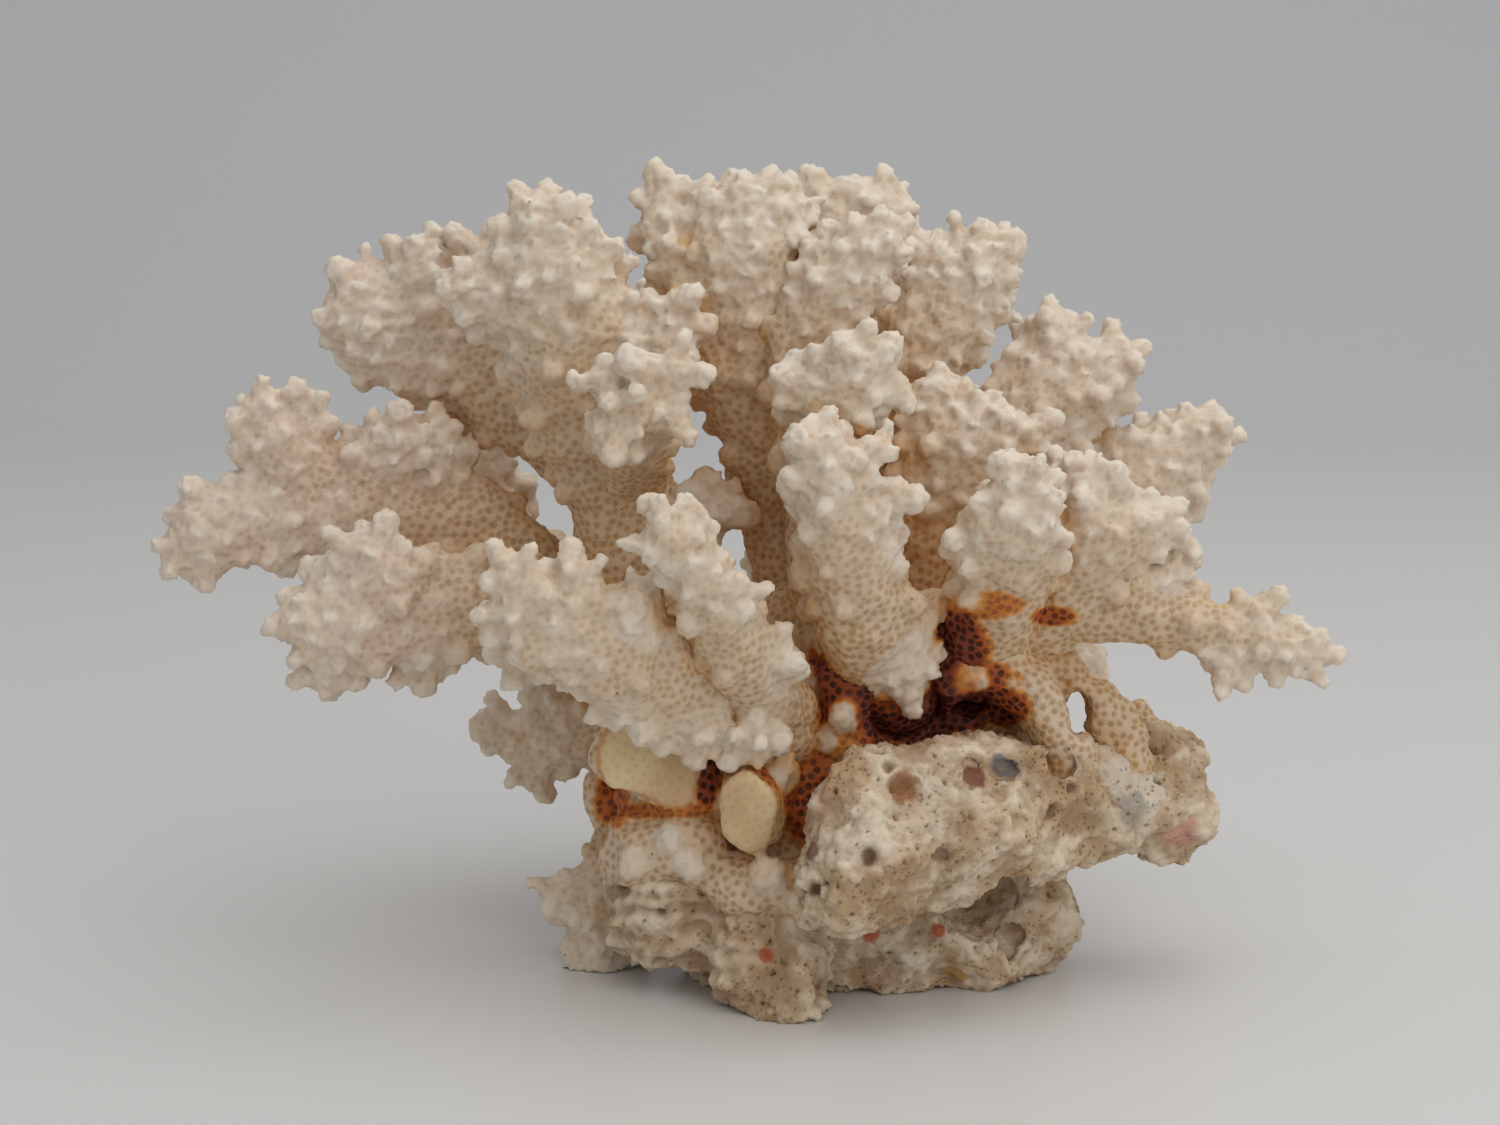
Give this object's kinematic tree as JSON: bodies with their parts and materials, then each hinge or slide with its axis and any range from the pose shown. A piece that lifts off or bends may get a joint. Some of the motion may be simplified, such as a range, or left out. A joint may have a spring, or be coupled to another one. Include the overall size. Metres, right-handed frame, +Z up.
{
  "type": "coral specimen",
  "caption": "Bleached cauliflower coral colony with flattened knobbly branches, grown on a lump of bored reef rubble, with rust stains at its foot; stands loose on a shelf.",
  "frame": {"origin": "on the resting plane, under the middle of the rubble lump", "axes": "+Z up, +X to the right of the front view, -Y towards the viewer"},
  "size_m": [0.1481, 0.0935, 0.1049],
  "materials": {
    "rubble": "rough, porous, off-white with brown holes and small red spots",
    "stained_coral": "pitted, warm white with rust and maroon stains and pale yellow broken faces",
    "coral_skeleton": "matte, finely pitted, white at the tips and tan in the hollows"
  },
  "bodies": {
    "root": {"back_left_limb": "coral_skeleton", "back_middle_limb": "coral_skeleton", "back_right_limb": "coral_skeleton", "back_top_limb": "coral_skeleton", "colony_foot": "stained_coral", "far_right_limb": "coral_skeleton", "front_column": "coral_skeleton", "front_fan": "coral_skeleton", "front_finger": "coral_skeleton", "front_left_fan": "coral_skeleton", "front_star": "coral_skeleton", "left_arm": "coral_skeleton", "left_foot": "coral_skeleton", "left_lobe": "coral_skeleton", "low_back_left_limb": "coral_skeleton", "low_back_middle_limb": "coral_skeleton", "low_back_right_limb": "coral_skeleton", "low_left_branch": "coral_skeleton", "outer_left_limb": "coral_skeleton", "right_arm": "coral_skeleton", "right_back_limb": "coral_skeleton", "right_fan": "coral_skeleton", "right_front_plate": "coral_skeleton", "right_mid_fan": "coral_skeleton", "right_upper_limb": "coral_skeleton", "rubble_base": "rubble", "top_back_limb": "coral_skeleton", "top_limb": "coral_skeleton", "top_right_limb": "coral_skeleton", "upper_left_limb": "coral_skeleton"}
  },
  "joints": []
}
